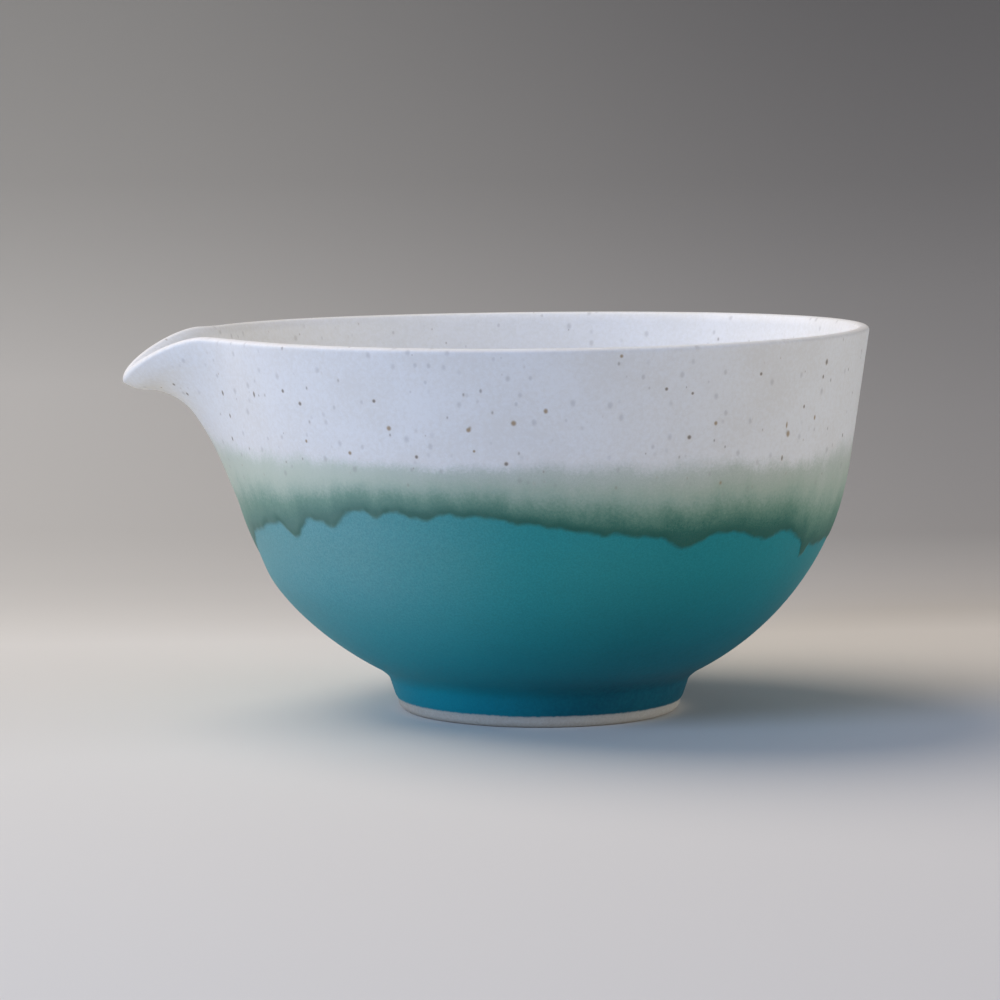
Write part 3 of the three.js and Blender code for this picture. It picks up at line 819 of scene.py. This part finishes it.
for specks, tone in ((RUSTY_SPECKS, SPECK_RUSTY), (DARK_SPECKS, SPECK)):
    spots = placed_specks(t, specks)
    colour = t.mix(t.math("MULTIPLY", t.fade(spots, 0.0, 0.6), 0.5), colour, SPECK_HALO)
    colour = t.mix(t.math("MULTIPLY", t.fade(spots, 0.25, 1.0), 0.62), colour, tone)
t.put(shader.inputs["Base Color"], colour)
t.put(shader.inputs["Roughness"], t.fade(run["Whiteness"], 0.0, 1.0, 0.58, 0.44))
t.put(shader.inputs["Specular IOR Level"], 0.16)
t.put(shader.inputs["Sheen Weight"], 0.03)
t.put(shader.inputs["Sheen Roughness"], 0.4)
rings = use(t, throwing_rings, spacing=6.5, waver=0.8)
normal = t.relief(white["Height"], 0.35, 0.2)
normal = t.relief(rings["Height"], 0.12, 0.3, under=normal)
normal = t.relief(run["Ridge"], 0.6, 0.2, under=normal)
t.put(shader.inputs["Normal"], normal)

# The inner coat, whose white is lighter than the outer coat's: painted light on the inner wall
inner_glaze, t, shader = material("inner_glaze")
white = use(t, white_coat, thick=WHITE_INSIDE_LIT, thin=WHITE_INSIDE_LIT_WARM)
specked = use(t, sown_specks, glaze=white["Color"], strength=1.0)
t.put(shader.inputs["Base Color"], specked["Color"])
t.put(shader.inputs["Roughness"], t.fade(white["Mottle"], 0.3, 0.7, 0.4, 0.48))
rings = use(t, throwing_rings, spacing=6.5, waver=0.8)
normal = t.relief(white["Height"], 0.35, 0.2)
normal = t.relief(rings["Height"], 0.25, 0.3, under=normal)
t.put(shader.inputs["Normal"], normal)

# The turquoise in the well under the bowl
well_glaze, t, shader = material("well_glaze")
skin = use(t, glaze_skin, grain=0.8, cloud=10.0)
# the deep tone here is the lighter one, with painted light in it
tone = t.mix(t.fade(skin["Mottle"], 0.3, 0.7), TURQUOISE_DEEP_LIT, TURQUOISE)
t.put(shader.inputs["Base Color"], tone)
t.put(shader.inputs["Roughness"], t.fade(skin["Mottle"], 0.3, 0.7, 0.5, 0.6))
t.put(shader.inputs["Normal"], t.relief(skin["Height"], 0.4, 0.2))

# Bare stoneware
stoneware, t, shader = material("stoneware")
clay = use(t, bare_clay, light=CLAY_LIGHT, dark=CLAY_DARK)
t.put(shader.inputs["Base Color"], clay["Color"])
t.put(shader.inputs["Roughness"], t.fade(clay["Height"], 0.2, 1.2, 0.95, 0.8))
t.put(shader.inputs["Normal"], t.relief(clay["Height"], 0.25, 0.2))

for piece, finish, slot, nodes in (
    (glaze_outside, outer_glaze, "white_glaze",
     ("white_glaze_outside", "green_run_glaze", "turquoise_glaze_outside")),
    (glaze_inside, inner_glaze, "white_glaze", ("white_glaze_inside",)),
    (clay_bowl, stoneware, "stoneware", ("bowl_wall", "spout")),
    (clay_foot, stoneware, "stoneware", ("foot_ring",)),
    (glaze_foot_well, well_glaze, "turquoise_glaze", ("foot_well_glaze",)),
):
    piece.data.materials.append(finish)
    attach(piece, "root")
    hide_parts(*nodes)

# Floor and backdrop in one sweep, in metres
SWEEP_FRONT = -2.5
SWEEP_HALF_WIDTH = 3.5
CURVE_FROM = 0.14
CURVE_RADIUS = 0.4
SWEEP_TOP = 0.5
sweep = [(SWEEP_FRONT, 0.0)]
sweep += [(CURVE_FROM + CURVE_RADIUS * math.sin(angle), CURVE_RADIUS * (1 - math.cos(angle)))
          for angle in quarter_turn(24)]
sweep += [(CURVE_FROM + CURVE_RADIUS, SWEEP_TOP)]
bm = bmesh.new()
corners = [bm.verts.new((-SWEEP_HALF_WIDTH, y, z)) for y, z in sweep]
edges = [bm.edges.new(pair) for pair in zip(corners, corners[1:])]
grown = bmesh.ops.extrude_edge_only(bm, edges=edges)["geom"]
bmesh.ops.translate(bm, vec=(2 * SWEEP_HALF_WIDTH, 0, 0),
                    verts=[v for v in grown if isinstance(v, bmesh.types.BMVert)])
bmesh.ops.recalc_face_normals(bm, faces=bm.faces)
if sum(face.normal.z for face in bm.faces) < 0:
    bmesh.ops.reverse_faces(bm, faces=bm.faces)
mesh = bpy.data.meshes.new("studio_sweep")
bm.to_mesh(mesh)
bm.free()
mesh.polygons.foreach_set("use_smooth", [True] * len(mesh.polygons))
studio = bpy.data.objects.new("studio_sweep", mesh)
bpy.context.scene.collection.objects.link(studio)

# The paper's tone from the table (0) up the curve behind it (1), on the lit and on the shaded side:
# painted light and shade, with painted light by the table where the bowl's shadow falls
PAPER_FROM, PAPER_TO = 100.0, 540.0  # millimetres behind the bowl
LIT_WARMTH, SHADED_WARMTH = 6, 3
LIT_SIDE = [
    (0.0, 217), (0.09, 208), (0.2, 194), (0.3, 185), (0.5, 183), (0.59, 170), (0.69, 152),
    (0.81, 142), (1.0, 131),
]
SHADED_SIDE = [
    (0.0, 220), (0.09, 196), (0.2, 176), (0.28, 156), (0.46, 148), (0.59, 137), (0.69, 122),
    (0.81, 110), (1.0, 100),
]


def greys(stops, warmth):
    return [(position, srgb(value, value - 1, value - warmth)) for position, value in stops]


paper, t, shader = material("studio_paper")
place = t.axes()
back = t.node("MapRange", inputs={
    "Value": place["Y"], "From Min": PAPER_FROM, "From Max": PAPER_TO}).outputs[0]
lit_side = t.ramp(back, greys(LIT_SIDE, LIT_WARMTH))
shaded_side = t.ramp(back, greys(SHADED_SIDE, SHADED_WARMTH))
# lit side to the left, shaded side to the right: painted light and shade
tone = t.mix(t.fade(place["X"], -130.0, 210.0), lit_side, shaded_side)
t.put(shader.inputs["Base Color"], tone)
t.put(shader.inputs["Roughness"], 0.9)
t.put(shader.inputs["Specular IOR Level"], 0.1)
# A camera behind the paper sees through it
from_behind = t.math("MULTIPLY", t.node("NewGeometry").outputs["Backfacing"],
                     t.node("LightPath").outputs["Is Camera Ray"])
shown = t.node("MixShader", inputs={
    0: from_behind, 1: shader.outputs[0], 2: t.node("BsdfTransparent").outputs[0]})
t.put(t.tree.nodes["Material Output"].inputs["Surface"], shown.outputs[0])
mesh.materials.append(paper)

# Light
LAMPS_AIM = Vector((0.0, 0.0, 0.04))
ROOM_LIGHT = (0.9, 0.87, 1.0, 1.0)
ROOM_STRENGTH = 0.19


def lamp(name, place, size, watts, colour):
    data = bpy.data.lights.new(name, "AREA")
    data.shape = "DISK"
    data.size = size
    data.energy = watts
    data.color = colour
    light = bpy.data.objects.new(name, data)
    light.location = place
    aim = LAMPS_AIM - light.location
    light.rotation_euler = aim.to_track_quat("-Z", "Y").to_euler()
    bpy.context.scene.collection.objects.link(light)


lamp("key_upper_left", place=(-0.57, 0.31, 0.9), size=1.05, watts=10.2, colour=(1.0, 0.88, 0.75))
lamp("cool_left", place=(-0.75, -0.6, 0.45), size=0.5, watts=5.6, colour=(0.45, 0.63, 1.0))
lamp("low_right", place=(1.8, -0.4, 0.35), size=1.0, watts=12.7, colour=(0.94, 0.97, 1.0))

world = bpy.data.worlds.new("room_light")
world.use_nodes = True
background = world.node_tree.nodes["Background"]
background.inputs["Color"].default_value = ROOM_LIGHT
background.inputs["Strength"].default_value = ROOM_STRENGTH
bpy.context.scene.world = world

# Camera, in metres and degrees, at the photograph's viewing angle
CAMERA_PLACE = (AXIS_X * MM - 0.0944, -0.7305, 0.1167)
CAMERA_DOWN = 5.82
CAMERA_TURN = -6.75
camera = bpy.data.cameras.new("camera")
camera.sensor_width = 36.0
camera.lens = 133.2
camera.clip_start = 0.05
camera.clip_end = 20.0
viewer = bpy.data.objects.new("camera", camera)
viewer.location = CAMERA_PLACE
viewer.rotation_euler = (math.radians(90 - CAMERA_DOWN), 0.0, math.radians(CAMERA_TURN))
bpy.context.scene.collection.objects.link(viewer)
bpy.context.scene.camera = viewer
bpy.context.scene.view_settings.view_transform = "Standard"
